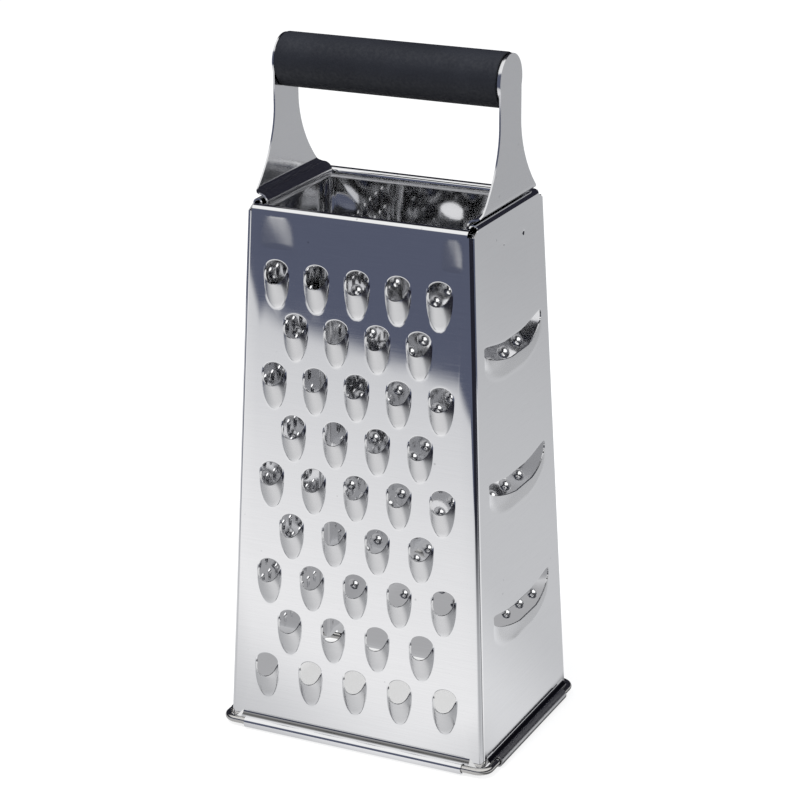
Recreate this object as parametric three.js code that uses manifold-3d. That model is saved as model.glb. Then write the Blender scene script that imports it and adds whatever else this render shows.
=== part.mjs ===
import * as THREE from "three";
import Module from "manifold-3d";

const wasm = await Module();
wasm.setup();

// Sizes are millimetres. X runs along the width, Y to the back, Z up from the floor.

// Whole object and the four tapering faces, measured on their outer sides.
const TOTAL_HEIGHT = 239;
const BASE_LINE = 4;
const RIM_HEIGHT = 187;
const BASE_WIDTH = 97;
const BASE_DEPTH = 72.6;
const TOP_WIDTH = 81.4;
const TOP_DEPTH = 58;

// Sheet metal and the clearance between pieces that touch.
const SHEET = 0.5;
const FIT = 0.25;
const CORNER_RADIUS = 1.4;
const FLANGE = 4.5;
const RIM_RADIUS = 2;
const SIDE_RIM_RADIUS = 1.7;
const SIDE_RIM_LIFT = 1.1;

// Base wire and the curls that hold it.
const WIRE_RADIUS = 1.25;
const WIRE_BEND = 4;
const FLARE_RADIUS = 1.8;
const FRONT_CURL_CUT = 7;
const SIDE_CURL_CUT = 8;
const FRONT_TAB = 3.2;
const SIDE_TAB = 1.8;

// Coarse scoops of the front panel.
const SCOOP_LOW = 21;
const SCOOP_COLUMNS = 5;
const SCOOP_ROW_PITCH = 17.6;
const SCOOP_COLUMN_SHARE = 0.178;
const SCOOP_TOP_MARGIN = 21.6;
const SCOOP_WIDTH = 9.5;
const SCOOP_RISE = 3;
const SCOOP_HOLE_UP = 3.7;
const SCOOP_SHOULDER = 0.5;
const SCOOP_LIP = -3.5;
const SCOOP_TIP = -12.4;
const SCOOP_TAPER = 2.5;

// Slicing slots of the right panel.
const SLOT_LOW = 21;
const SLOT_PITCH = 47;
const SLOT_TOP_MARGIN = 48;
const SLOT_LENGTH = 47;
const SLOT_OPENING = 5;
const SLOT_SAG = 3.7;
const SLOT_RISE = 2.6;
const SLOT_RAMP = 7.5;

// Pierced holes of the back panel and slits of the left panel.
const RASP_COLUMN = 5.1;
const RASP_ROW = 5.03;
const RASP_HOLE = 2.4;
const RASP_MARGIN = 8;
const RASP_LOW = 26;
const RASP_TOP_MARGIN = 27;
const SLIT_COLUMN = 5;
const SLIT_ROW = 7.5;
const SLIT_WIDTH = 3.2;
const SLIT_HEIGHT = 1.5;
const SLIT_MARGIN = 8;
const SLIT_LOW = 24.2;
const SLIT_TOP_MARGIN = 24;

// Handle arms and grip.
const ARM_SHEET = 0.6;
const ARM_OUT = 0.1;
const ARM_JOGGLE = 2.8;
const ARM_FOOT_INSET = 1;
const HOOK_END = 250;
const CAP_RADIUS = 8.8;
const NECK_ANGLE = 20;
const NECK_DROP = 14;
const BOSS_RADIUS = 8.3;
const BOSS_DEPTH = 2.4;
const GRIP_RADIUS = 9.1;
const GRIP_CHAMFER = 0.5;
const GRIP_PLAY = 0.7;

// Values that follow from the sizes above.
const SPAN = RIM_HEIGHT - BASE_LINE;
const WIRE_Z = WIRE_RADIUS + FIT + SHEET;
const WIRE_OUT = FLARE_RADIUS - SHEET / 2;
const CURL_PATH = WIRE_RADIUS + FIT + SHEET / 2;
const FLARE_Z = WIRE_Z + CURL_PATH + FLARE_RADIUS;
const RIM_Z = RIM_HEIGHT - RIM_RADIUS;
const SIDE_RIM_Z = RIM_HEIGHT - SIDE_RIM_RADIUS + SIDE_RIM_LIFT;
const SIDE_RIM_HALF = TOP_DEPTH / 2 - 2 * RIM_RADIUS - 2 * FIT;
const HOOK_PATH = SIDE_RIM_RADIUS + FIT + ARM_SHEET / 2;
const FLANGE_TOP = SIDE_RIM_Z - HOOK_PATH - ARM_SHEET / 2 - 4 * FIT;
const CORNER_LOW = WIRE_Z;
const LAP = 0.8;

const halfWidth = (z) => (BASE_WIDTH + ((TOP_WIDTH - BASE_WIDTH) * (z - BASE_LINE)) / SPAN) / 2;
const halfDepth = (z) => (BASE_DEPTH + ((TOP_DEPTH - BASE_DEPTH) * (z - BASE_LINE)) / SPAN) / 2;
const wideFlat = (z) => halfWidth(z) - SHEET - FIT - CORNER_RADIUS;
const narrowFlat = (z) => halfDepth(z) - FIT - CORNER_RADIUS;
const point = (x, y) => new THREE.Vector2(x, y);

function polar(centre, radius, degrees) {
  const a = THREE.MathUtils.degToRad(degrees);
  return point(centre.x + radius * Math.cos(a), centre.y + radius * Math.sin(a));
}

function arc(centre, radius, from, to, steps) {
  const at = (i) => polar(centre, radius, from + ((to - from) * i) / steps);
  return Array.from({ length: steps + 1 }, (_, i) => at(i));
}

// A band of even thickness along an open path.
function band(path, thickness) {
  const left = [];
  const right = [];
  path.forEach((p, i) => {
    const before = path[Math.max(i - 1, 0)];
    const after = path[Math.min(i + 1, path.length - 1)];
    const a = i > 0 ? p.clone().sub(before).normalize() : after.clone().sub(p).normalize();
    const b = i < path.length - 1 ? after.clone().sub(p).normalize() : a;
    const normal = point(-a.y - b.y, a.x + b.x);
    const scale = thickness / (1 + a.dot(b)) / 2;
    left.push(p.clone().addScaledVector(normal, scale));
    right.unshift(p.clone().addScaledVector(normal, -scale));
  });
  return [...left, ...right];
}

// A shell through a row of outlines, capped at both ends or joined into a ring.
function loft(outlines, place, ring = false) {
  const turned = THREE.ShapeUtils.isClockWise(outlines[0]);
  const sections = turned ? outlines.map((o) => [...o].reverse()) : outlines;
  const count = sections[0].length;
  const last = sections.length - 1;
  const points = sections.flatMap((section, j) => section.map((p) => place(p, j)));
  const faces = [];
  for (let j = 0; j < (ring ? last + 1 : last); j += 1) {
    const next = (j + 1) % sections.length;
    for (let i = 0; i < count; i += 1) {
      const k = (i + 1) % count;
      faces.push([j * count + i, j * count + k, next * count + k]);
      faces.push([j * count + i, next * count + k, next * count + i]);
    }
  }
  if (!ring) {
    const low = THREE.ShapeUtils.triangulateShape(sections[0], []);
    const high = THREE.ShapeUtils.triangulateShape(sections[last], []);
    low.forEach(([a, b, c]) => faces.push([c, b, a]));
    high.forEach(([a, b, c]) => faces.push([a, b, c].map((i) => i + last * count)));
  }
  const volume = faces.reduce((sum, [a, b, c]) => {
    return sum + points[a].dot(points[b].clone().cross(points[c]));
  }, 0);
  return { points, faces: volume < 0 ? faces.map(([a, b, c]) => [c, b, a]) : faces };
}

const moved = (shell, shift) => ({
  points: shell.points.map((p) => p.clone().add(shift)),
  faces: shell.faces,
});

// One solid made of one or more separate shells.
function solid(...shells) {
  const corners = [];
  const indices = [];
  shells.forEach(({ points, faces }) => {
    const start = corners.length / 3;
    points.forEach((p) => corners.push(p.x, p.y, p.z));
    faces.forEach((face) => face.forEach((i) => indices.push(i + start)));
  });
  const vertProperties = new Float32Array(corners);
  const triVerts = new Uint32Array(indices);
  return new wasm.Manifold(new wasm.Mesh({ numProp: 3, vertProperties, triVerts }));
}

// Panels are drawn in one frame: x outward from the outer face, y along the panel, z up.
function plate(outline) {
  return solid(loft([outline, outline], (p, j) => new THREE.Vector3(-SHEET * j, p.x, p.y)));
}

function rail(path, half, thickness = SHEET) {
  const outline = band(path, thickness);
  return solid(loft([outline, outline], (p, j) => new THREE.Vector3(p.x, half * (2 * j - 1), p.y)));
}

// The flare along a bottom edge, and the shorter curl that goes on from it round the wire.
function bottomEdge(flareHalf, curlHalf) {
  const wire = point(WIRE_OUT, WIRE_Z);
  const bend = point(WIRE_OUT, FLARE_Z);
  const step = 30;
  const reach = CURL_PATH / Math.cos(THREE.MathUtils.degToRad(step / 2));
  const flare = [point(-SHEET / 2, FLARE_Z + LAP), ...arc(bend, FLARE_RADIUS, 180, 270, 4)];
  const curl = arc(wire, reach, 90 - step / 2, -195, 9);
  const ends = rail(flare, flareHalf - FIT, SHEET - FIT / 2);
  return ends.add(rail([...flare, ...curl], curlHalf));
}

function topCurl(z, half, radius) {
  const centre = point(-radius, z);
  const path = [point(-SHEET / 2, z - LAP), ...arc(centre, radius - SHEET / 2, 0, 290, 10)];
  return rail(path, half);
}

// The fold round one corner of a front or back panel, with or without its inner flange.
function cornerFold(side, low, high, flange) {
  const centre = point(-CORNER_RADIUS, 0);
  const bend = arc(centre, CORNER_RADIUS - SHEET / 2, 0, 90, 4);
  const end = point(-CORNER_RADIUS - flange, CORNER_RADIUS - SHEET / 2);
  const outline = band([point(-SHEET / 2, -LAP), ...bend, end], SHEET);
  const heights = [low, high];
  const place = (p, j) => new THREE.Vector3(p.x, side * (p.y + wideFlat(heights[j])), heights[j]);
  return solid(loft([outline, outline], place));
}

function widePanel() {
  const low = wideFlat(CORNER_LOW);
  const flare = low - FRONT_TAB;
  const high = wideFlat(RIM_Z);
  const right = [point(flare, FLARE_Z), point(low, CORNER_LOW), point(high, RIM_Z)];
  const left = right.map((p) => point(-p.x, p.y)).reverse();
  const flat = plate([...right, ...left]);
  const folds = [-1, 1].flatMap((side) => [
    cornerFold(side, CORNER_LOW, FLANGE_TOP, FLANGE),
    cornerFold(side, FLANGE_TOP - LAP, RIM_Z + LAP, FIT),
  ]);
  const bottom = bottomEdge(flare, BASE_WIDTH / 2 - FRONT_CURL_CUT);
  const curls = [bottom, topCurl(RIM_Z, high, RIM_RADIUS)];
  return [...folds, ...curls].reduce((sum, piece) => sum.add(piece), flat);
}

function narrowPanel() {
  const low = narrowFlat(CORNER_LOW);
  const shoulder = SIDE_RIM_Z - SIDE_RIM_RADIUS;
  const high = narrowFlat(shoulder);
  const flare = low - SIDE_TAB;
  const right = [point(flare, FLARE_Z), point(low, CORNER_LOW)];
  right.push(point(high, shoulder), point(SIDE_RIM_HALF, SIDE_RIM_Z));
  const left = right.map((p) => point(-p.x, p.y)).reverse();
  const rim = topCurl(SIDE_RIM_Z, SIDE_RIM_HALF, SIDE_RIM_RADIUS);
  const bottom = bottomEdge(flare, BASE_DEPTH / 2 - SIDE_CURL_CUT);
  return [bottom, rim].reduce((sum, piece) => sum.add(piece), plate([...right, ...left]));
}

// Coarse scoop: half-round sections from the lip down to the tip, and the space cut out under them.
const scoopHalf = (v) => {
  const share = (SCOOP_SHOULDER - v) / (SCOOP_SHOULDER - SCOOP_TIP);
  return (SCOOP_WIDTH / 2) * Math.sqrt(1 - share ** SCOOP_TAPER);
};
const scoopHeight = (v) => (SCOOP_RISE * (v - SCOOP_TIP)) / (SCOOP_LIP - SCOOP_TIP);

function halfRound(half, height, level, depth) {
  const crown = arc(point(0, 0), 1, 180, 0, 6).map((p) => point(p.x * half, level + p.y * height));
  return [point(-half, level - depth), ...crown, point(half, level - depth)];
}

function scoopShells() {
  const ramp = [0.55, 0.82, 0.97].map((s) => SCOOP_SHOULDER + (SCOOP_TIP - SCOOP_SHOULDER) * s);
  const levels = [SCOOP_SHOULDER, ...ramp];
  const outer = levels.map((v, j) => {
    return halfRound(scoopHalf(v), j ? scoopHeight(v) : SCOOP_RISE, 0, SHEET / 2);
  });
  const lean = (SCOOP_SHOULDER - SCOOP_LIP) / SCOOP_RISE;
  const slope = (p, j) => (j ? 0 : lean * Math.max(p.y, 0));
  const bump = loft(outer, (p, j) => new THREE.Vector3(p.y, p.x, levels[j] - slope(p, j)));
  const holeHalf = scoopHalf(SCOOP_SHOULDER) - SHEET;
  const holeReach = SCOOP_HOLE_UP - SCOOP_SHOULDER;
  const above = [0.97, 0.62].map((s) => ({
    v: SCOOP_SHOULDER + holeReach * s,
    half: holeHalf * Math.sqrt(1 - s * s),
    height: scoopHeight(SCOOP_SHOULDER),
  }));
  const below = levels.map((v) => ({ v, half: scoopHalf(v) - SHEET * 0.9, height: scoopHeight(v) }));
  const steps = [...above, ...below];
  const inner = steps.map((s) => halfRound(s.half, s.height, -SHEET, 1));
  const space = loft(inner, (p, j) => new THREE.Vector3(p.y, p.x, steps[j].v));
  return { bump, space };
}

function frontPanel() {
  const { bump, space } = scoopShells();
  const top = RIM_HEIGHT - SCOOP_TOP_MARGIN;
  const rows = Math.floor((top - SCOOP_LOW) / SCOOP_ROW_PITCH) + 1;
  const places = [];
  for (let row = 0; row < rows; row += 1) {
    const z = top - row * SCOOP_ROW_PITCH;
    const count = SCOOP_COLUMNS - (row % 2);
    const pitch = SCOOP_COLUMN_SHARE * 2 * halfWidth(z);
    for (let k = 0; k < count; k += 1) {
      places.push(new THREE.Vector3(0, (k - (count - 1) / 2) * pitch, z));
    }
  }
  const bumps = solid(...places.map((p) => moved(bump, p)));
  const spaces = solid(...places.map((p) => moved(space, p)));
  return widePanel().add(bumps).subtract(spaces);
}

// Slicing slot: a curved opening with a raised lip along its lower edge.
function slotShells(z) {
  const steps = 12;
  const at = Array.from({ length: steps + 1 }, (_, i) => (2 * i) / steps - 1);
  const shape = at.map((s) => ({
    lip: z + SLOT_SAG * s * s,
    rise: SLOT_RISE * (1 - s * s) + SHEET / 10,
    ramp: SLOT_RAMP * (1 - 0.35 * s ** 4),
  }));
  const place = (p, j) => new THREE.Vector3(p.y, (at[j] * SLOT_LENGTH) / 2, p.x);
  const outer = shape.map(({ lip, rise, ramp }) => [
    point(lip - ramp, -SHEET / 2),
    point(lip - ramp, 0),
    point(lip - ramp / 2, rise * 0.6),
    point(lip + SHEET, rise),
    point(lip + SHEET, -SHEET / 2),
  ]);
  const inner = shape.map(({ lip, rise, ramp }) => [
    point(lip - ramp, -2 * SHEET),
    point(lip - ramp, -SHEET),
    point(lip - ramp / 2, rise * 0.6 - SHEET),
    point(lip, rise - SHEET),
    point(lip, rise + SHEET),
    point(lip + SLOT_OPENING, rise + SHEET),
    point(lip + SLOT_OPENING, -2 * SHEET),
  ]);
  return { lip: loft(outer, place), space: loft(inner, place) };
}

function rightPanel() {
  const top = RIM_HEIGHT - SLOT_TOP_MARGIN;
  const count = Math.floor((top - SLOT_LOW) / SLOT_PITCH) + 1;
  const slots = Array.from({ length: count }, (_, i) => slotShells(top - i * SLOT_PITCH));
  const lips = solid(...slots.map((s) => s.lip));
  const spaces = solid(...slots.map((s) => s.space));
  return narrowPanel().add(lips).subtract(spaces);
}

// Places of a staggered pattern between two heights, as wide as the panel allows.
// The lowest row and every second row above it stand half a column off the middle.
function staggered(low, high, row, column, room) {
  const places = [];
  const rows = Math.floor((high - low) / row);
  for (let r = 0; r <= rows; r += 1) {
    const z = low + r * row;
    const odd = 1 - (r % 2);
    const reach = Math.floor((room(z) - (odd * column) / 2) / column);
    for (let k = -reach; k < reach + 1 + odd; k += 1) {
      places.push(new THREE.Vector3(0, (k - odd / 2) * column, z));
    }
  }
  return places;
}

function pierced(panel, outline, places) {
  const punch = loft([outline, outline], (p, j) => new THREE.Vector3(1 - 2 * j, p.x, p.y));
  return panel.subtract(solid(...places.map((p) => moved(punch, p))));
}

function backPanel() {
  const room = (z) => wideFlat(z) - RASP_MARGIN;
  const high = RIM_HEIGHT - RASP_TOP_MARGIN;
  const places = staggered(RASP_LOW, high, RASP_ROW, 2 * RASP_COLUMN, room);
  return pierced(widePanel(), arc(point(0, 0), RASP_HOLE / Math.SQRT2, 0, 270, 3), places);
}

function leftPanel() {
  const room = (z) => narrowFlat(z) - SLIT_MARGIN;
  const high = RIM_HEIGHT - SLIT_TOP_MARGIN;
  const places = staggered(SLIT_LOW, high, SLIT_ROW, SLIT_COLUMN, room);
  const w = SLIT_WIDTH / 2;
  const h = SLIT_HEIGHT / 2;
  const outline = [point(-w, -h), point(w, -h), point(w * 0.6, h), point(-w * 0.6, h)];
  return pierced(narrowPanel(), outline, places);
}

// Leans a panel to its taper and turns it to its side of the body.
function placed(panel, half, degrees) {
  const lean = half(1) - half(0);
  return panel.transform([1, 0, 0, 0, 0, 1, 0, 0, lean, 0, 1, 0, half(0), 0, 0, 1]).rotate([0, 0, degrees]);
}

function baseWire() {
  const a = halfWidth(WIRE_Z) + WIRE_OUT - WIRE_BEND;
  const b = halfDepth(WIRE_Z) + WIRE_OUT - WIRE_BEND;
  const centres = [point(a, b), point(-a, b), point(-a, -b), point(a, -b)];
  const stations = centres.flatMap((centre, i) => {
    return [0, 15, 30, 45, 60, 75, 90].map((turn) => ({ centre, angle: i * 90 + turn }));
  });
  const section = arc(point(0, 0), WIRE_RADIUS, 0, 324, 9);
  const place = (p, j) => {
    const { centre, angle } = stations[j];
    const at = polar(centre, WIRE_BEND + p.x, angle);
    return new THREE.Vector3(at.x, at.y, WIRE_Z + p.y);
  };
  return solid(loft(stations.map(() => section), place, true));
}

// Right arm: a hook round the side panel's top curl, a step outward, and a flat plate up to its head.
// A ring on the inner side of the head holds the grip.
const GRIP_Z = TOTAL_HEIGHT - GRIP_RADIUS;
const ARM_X = TOP_WIDTH / 2 + ARM_OUT;

function armOutline() {
  const foot = SIDE_RIM_HALF - ARM_FOOT_INSET;
  const neck = CAP_RADIUS * Math.cos(THREE.MathUtils.degToRad(NECK_ANGLE));
  const low = SIDE_RIM_Z + HOOK_PATH;
  const high = GRIP_Z - NECK_DROP;
  const reach = high - low;
  const curve = new THREE.CubicBezierCurve(
    point(foot, low),
    point(foot - (foot - neck) * 0.5, low + reach * 0.22),
    point(neck, low + reach * 0.62),
    point(neck, high),
  );
  const right = [point(foot, low - 4 * HOOK_PATH), ...curve.getPoints(10)];
  const left = right.map((p) => point(-p.x, p.y)).reverse();
  const cap = arc(point(0, GRIP_Z), CAP_RADIUS, -NECK_ANGLE, 180 + NECK_ANGLE, 22);
  return [...right, ...cap, ...left];
}

function rightArm() {
  const centre = point(halfWidth(SIDE_RIM_Z) - SIDE_RIM_RADIUS, SIDE_RIM_Z);
  const top = SIDE_RIM_Z + HOOK_PATH;
  const step = ARM_X - centre.x;
  const path = [...arc(centre, HOOK_PATH, HOOK_END, 100, 8)];
  path.push(point(centre.x + step * 0.55, top + ARM_JOGGLE * 0.1));
  path.push(point(centre.x + step * 0.9, top + ARM_JOGGLE * 0.45));
  path.push(point(ARM_X, top + ARM_JOGGLE));
  path.push(point(ARM_X, TOTAL_HEIGHT + 1));
  const section = band(path, ARM_SHEET);
  const strip = loft([section, section], (p, j) => {
    return new THREE.Vector3(p.x, (TOP_DEPTH / 2) * (2 * j - 1), p.y);
  });
  const outline = armOutline();
  const limits = [ARM_X - 4 * HOOK_PATH, ARM_X + HOOK_PATH];
  const blank = loft([outline, outline], (p, j) => new THREE.Vector3(limits[j], p.x, p.y));
  const depth = [ARM_X - ARM_SHEET / 2 - BOSS_DEPTH, ARM_X];
  const rod = (radius) => {
    const circle = arc(point(0, GRIP_Z), radius, 0, 345, 23);
    return solid(loft([circle, circle], (p, j) => new THREE.Vector3(depth[j], p.x, p.y)));
  };
  const boss = rod(BOSS_RADIUS).subtract(rod(BOSS_RADIUS - ARM_SHEET));
  return solid(strip).intersect(solid(blank)).add(boss);
}

// Grip: a round bar, bored at both ends for the rings of the arms and pushed up to the left arm.
function grip() {
  const reach = ARM_X - ARM_SHEET / 2 - FIT;
  const bore = BOSS_RADIUS + FIT;
  const end = (side, x) => [
    { x: side * (x - BOSS_DEPTH), r: bore },
    { x: side * x, r: bore },
    { x: side * x, r: GRIP_RADIUS - GRIP_CHAMFER / 2 },
    { x: side * (x - GRIP_CHAMFER / 2), r: GRIP_RADIUS },
  ];
  const stations = [...end(-1, reach), ...end(1, reach - GRIP_PLAY).reverse()];
  const outlines = stations.map((s) => arc(point(0, 0), s.r, 0, 345, 23));
  return solid(loft(outlines, (p, j) => new THREE.Vector3(stations[j].x, p.x, GRIP_Z + p.y)));
}

const brushed = new THREE.MeshStandardMaterial({ color: 0xc9ccd1, roughness: 0.3, metalness: 1 });
const satin = new THREE.MeshStandardMaterial({ color: 0xb3b5b9, roughness: 0.38, metalness: 1 });
const bright = new THREE.MeshStandardMaterial({ color: 0xbcbcb9, roughness: 0.22, metalness: 1 });
const black = new THREE.MeshStandardMaterial({ color: 0x17181b, roughness: 0.62, metalness: 0 });

function named(name, body, material) {
  const { vertProperties, triVerts } = body.getMesh();
  const geometry = new THREE.BufferGeometry();
  geometry.setAttribute("position", new THREE.BufferAttribute(new Float32Array(vertProperties), 3));
  geometry.setIndex(new THREE.BufferAttribute(new Uint32Array(triVerts), 1));
  geometry.computeVertexNormals();
  const mesh = new THREE.Mesh(geometry, material);
  mesh.name = name;
  return mesh;
}

const arm = rightArm();
const grater = new THREE.Group();
grater.name = "grater";
grater.add(named("front_panel_coarse", placed(frontPanel(), halfDepth, -90), brushed));
grater.add(named("back_panel_rasp", placed(backPanel(), halfDepth, 90), brushed));
grater.add(named("right_panel_slicer", placed(rightPanel(), halfWidth, 0), brushed));
grater.add(named("left_panel_fine", placed(leftPanel(), halfWidth, 180), brushed));
grater.add(named("base_wire", baseWire(), bright));
grater.add(named("right_arm", arm, satin));
grater.add(named("left_arm", arm.mirror([1, 0, 0]), satin));
grater.add(named("grip", grip(), black));

export default grater;
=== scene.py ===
import math

import bmesh
import bpy
from mathutils import Matrix, Vector


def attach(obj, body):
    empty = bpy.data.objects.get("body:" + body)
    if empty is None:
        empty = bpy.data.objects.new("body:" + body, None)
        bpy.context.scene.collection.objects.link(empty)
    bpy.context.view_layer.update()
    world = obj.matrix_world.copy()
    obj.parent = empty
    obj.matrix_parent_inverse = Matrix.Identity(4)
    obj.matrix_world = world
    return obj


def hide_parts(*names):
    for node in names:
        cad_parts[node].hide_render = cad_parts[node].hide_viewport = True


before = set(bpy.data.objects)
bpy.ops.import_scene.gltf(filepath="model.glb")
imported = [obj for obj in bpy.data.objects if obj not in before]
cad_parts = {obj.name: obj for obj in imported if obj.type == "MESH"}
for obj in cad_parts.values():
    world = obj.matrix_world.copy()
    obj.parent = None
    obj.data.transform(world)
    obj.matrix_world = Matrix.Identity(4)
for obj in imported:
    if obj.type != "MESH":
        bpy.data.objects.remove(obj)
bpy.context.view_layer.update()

# Sizes are millimetres, the same as the solids. X runs along the width, Y to the back, Z up.
# FIT is the gap between pieces in the solids; sheets that meet at a corner stand CLOSE_FIT apart here.
MM = 0.001
TOTAL_HEIGHT = 239.0
BASE_LINE = 4.0
RIM_HEIGHT = 187.0
BASE_WIDTH = 97.0
BASE_DEPTH = 72.6
TOP_WIDTH = 81.4
TOP_DEPTH = 58.0
SHEET = 0.5
FIT = 0.25
CLOSE_FIT = 0.06
CORNER_RADIUS = 1.4
FLANGE = 4.5
RIM_RADIUS = 2.0
SIDE_RIM_RADIUS = 1.7
SIDE_RIM_LIFT = 1.1
WIRE_RADIUS = 1.25
WIRE_BEND = 4.0
FLARE_RADIUS = 1.8
FRONT_CURL_CUT = 7.0
SIDE_CURL_CUT = 8.0
FRONT_TAB = 3.2
SIDE_TAB = 1.8
EDGE_STRIP = 0.3
RIM_TURN = 290.0
CURL_TURN = 270.0

SCOOP_LOW = 21.0
SCOOP_COLUMNS = 5
SCOOP_ROW_PITCH = 17.6
SCOOP_COLUMN_SHARE = 0.178
SCOOP_TOP_MARGIN = 21.6

SLOT_LOW = 21.0
SLOT_PITCH = 47.0
SLOT_TOP_MARGIN = 48.0
SLOT_LENGTH = 47.0
SLOT_OPENING = 5.0
SLOT_SAG = 3.7
SLOT_RISE = 2.6
SLOT_RAMP = 7.5

RASP_COLUMN = 5.1
RASP_ROW = 5.03
RASP_MARGIN = 8.0
RASP_LOW = 26.0
RASP_TOP_MARGIN = 27.0
SLIT_COLUMN = 5.0
SLIT_ROW = 7.5
SLIT_MARGIN = 8.0
SLIT_LOW = 24.2
SLIT_TOP_MARGIN = 24.0

ARM_SHEET = 0.6
ARM_OUT = 0.1
ARM_JOGGLE = 2.8
ARM_FOOT_INSET = 1.0
HOOK_END = 250.0
CAP_RADIUS = 8.8
NECK_ANGLE = 20.0
NECK_DROP = 14.0
BOSS_RADIUS = 8.3
BOSS_DEPTH = 2.4
GRIP_RADIUS = 9.1
GRIP_CHAMFER = 0.5
GRIP_PLAY = 0.7

# Hollows under the front rim: where along it, half as wide as, how deep. They are deepest low down.
RIM_HOLLOWS = ((-29.6, 7.8, 0.32), (33.8, 4.6, 0.36))
HOLLOW_LOW = 172.8
HOLLOW_DEEPEST = 175.2
HOLLOW_TOP = 184.4
# Two small dents in the right panel: place, half width, half height, depth.
DENTS = ((Vector((0, -5.1, 176.8)), 0.5, 0.5, 0.1), (Vector((0, 10.9, 176.8)), 1.2, 1.3, 0.3))

# Marks on the metal: millimetres in or out at which drawing counts in full, and shares of haze and wear.
# Each mark also darkens the colour as painted shade.
FULL_PRESS = 0.6
HOLLOW_FULL = 0.1
HOLLOW_LIMIT = 0.4
HOLLOW_HAZE_AND_SHADE = 0.6
CURL_WEAR_AND_SHADE = 1.3
WEAR_AND_SHADE_FROM = 0.9

# Steps and tolerances of the meshes.
NEAR = 1e-3
ON_SHEET = 1e-6
FOLD_SHIFT = 1.0
SHARP_EDGE = 32.0
FLARE_STEPS = 10
CURL_STEPS = 36
RIM_STEPS = 28
FOLD_STEPS = 8
COARSE_POINTS = 48
FINE_POINTS = 14
SLOT_POINTS = 72
BURR_POINTS = 12
DENT_POINTS = 28
HOLLOW_POINTS = 40
WIRE_POINTS = 20
WIRE_STEPS = 10
ARM_STEPS = 24
CURVE_STEPS = 200
CAP_STEPS = 48
BOSS_POINTS = 64
HOOK_STEPS = 20
GRIP_STEPS = 72

SPAN = RIM_HEIGHT - BASE_LINE
WIRE_Z = WIRE_RADIUS + FIT + SHEET
WIRE_OUT = FLARE_RADIUS - SHEET / 2
CURL_RADIUS = WIRE_RADIUS + FIT + SHEET
FLARE_Z = WIRE_Z + CURL_RADIUS + WIRE_OUT
RIM_Z = RIM_HEIGHT - RIM_RADIUS
SIDE_RIM_Z = RIM_HEIGHT - SIDE_RIM_RADIUS + SIDE_RIM_LIFT
SIDE_RIM_HALF = TOP_DEPTH / 2 - 2 * RIM_RADIUS - 2 * FIT
HOOK_RADIUS = SIDE_RIM_RADIUS + FIT + ARM_SHEET
HOOK_PATH = HOOK_RADIUS - ARM_SHEET / 2
FLANGE_TOP = SIDE_RIM_Z - HOOK_RADIUS - 4 * FIT
CORNER_LOW = WIRE_Z
GRIP_Z = TOTAL_HEIGHT - GRIP_RADIUS
ARM_X = TOP_WIDTH / 2 + ARM_OUT


def half_width(z):
    """Half the width of the body at a height."""
    return (BASE_WIDTH + (TOP_WIDTH - BASE_WIDTH) * (z - BASE_LINE) / SPAN) / 2


def half_depth(z):
    """Half the depth of the body at a height."""
    return (BASE_DEPTH + (TOP_DEPTH - BASE_DEPTH) * (z - BASE_LINE) / SPAN) / 2


def wide_flat(z):
    """Half the flat part of the front and back panels, between their folded corners."""
    return half_width(z) - SHEET - CLOSE_FIT - CORNER_RADIUS


def narrow_flat(z):
    """Half the flat part of the side panels."""
    return half_depth(z) - CLOSE_FIT - CORNER_RADIUS


def on_side(half, degrees):
    """Leans a panel to its taper, turns it to its side of the body and puts it in metres."""
    lean = half(1.0) - half(0.0)
    taper = Matrix(((1, 0, lean, half(0.0)), (0, 1, 0, 0), (0, 0, 1, 0), (0, 0, 0, 1)))
    return Matrix.Scale(MM, 4) @ Matrix.Rotation(math.radians(degrees), 4, "Z") @ taper


IN_PLACE = Matrix.Scale(MM, 4)


# Mesh helpers. Panels are drawn in one frame: x outward, y along the panel, z up.
def verts_of(geom):
    return [g for g in geom if isinstance(g, bmesh.types.BMVert)]


def edges_of(geom):
    return [g for g in geom if isinstance(g, bmesh.types.BMEdge)]


def ring_edges(ring):
    members = set(ring)
    return [e for e in {e for v in ring for e in v.link_edges} if members.issuperset(e.verts)]


def ring_angles(count, offset=0.0):
    return [2 * math.pi * (i + offset) / count for i in range(count)]


def squared(value, power):
    """A power that keeps the sign; it squares up a circle."""
    return math.copysign(abs(value) ** power, value)


def both_sides(right):
    """A whole outline from its right half, listed from the bottom up."""
    return right + [(-y, z) for y, z in reversed(right)]


def pulled(bm, ring):
    """Extrudes a closed ring of vertices and gives the new ring in the same order."""
    out = bmesh.ops.extrude_edge_only(bm, edges=ring_edges(ring))
    place = {v: i for i, v in enumerate(ring)}
    fresh = list(ring)
    for v in verts_of(out["geom"]):
        old = next(e.other_vert(v) for e in v.link_edges if e.other_vert(v) in place)
        fresh[place[old]] = v
    return fresh


def ringed(bm, rings):
    """A pressed form: rings of points from the flat sheet round it to the edge of its opening."""
    ring = bmesh.ops.create_circle(bm, segments=len(rings[0]), radius=1)["verts"]
    outer = ring
    for i, points in enumerate(rings):
        if i:
            ring = pulled(bm, ring)
        for v, co in zip(ring, points):
            v.co = co
    return outer


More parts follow.
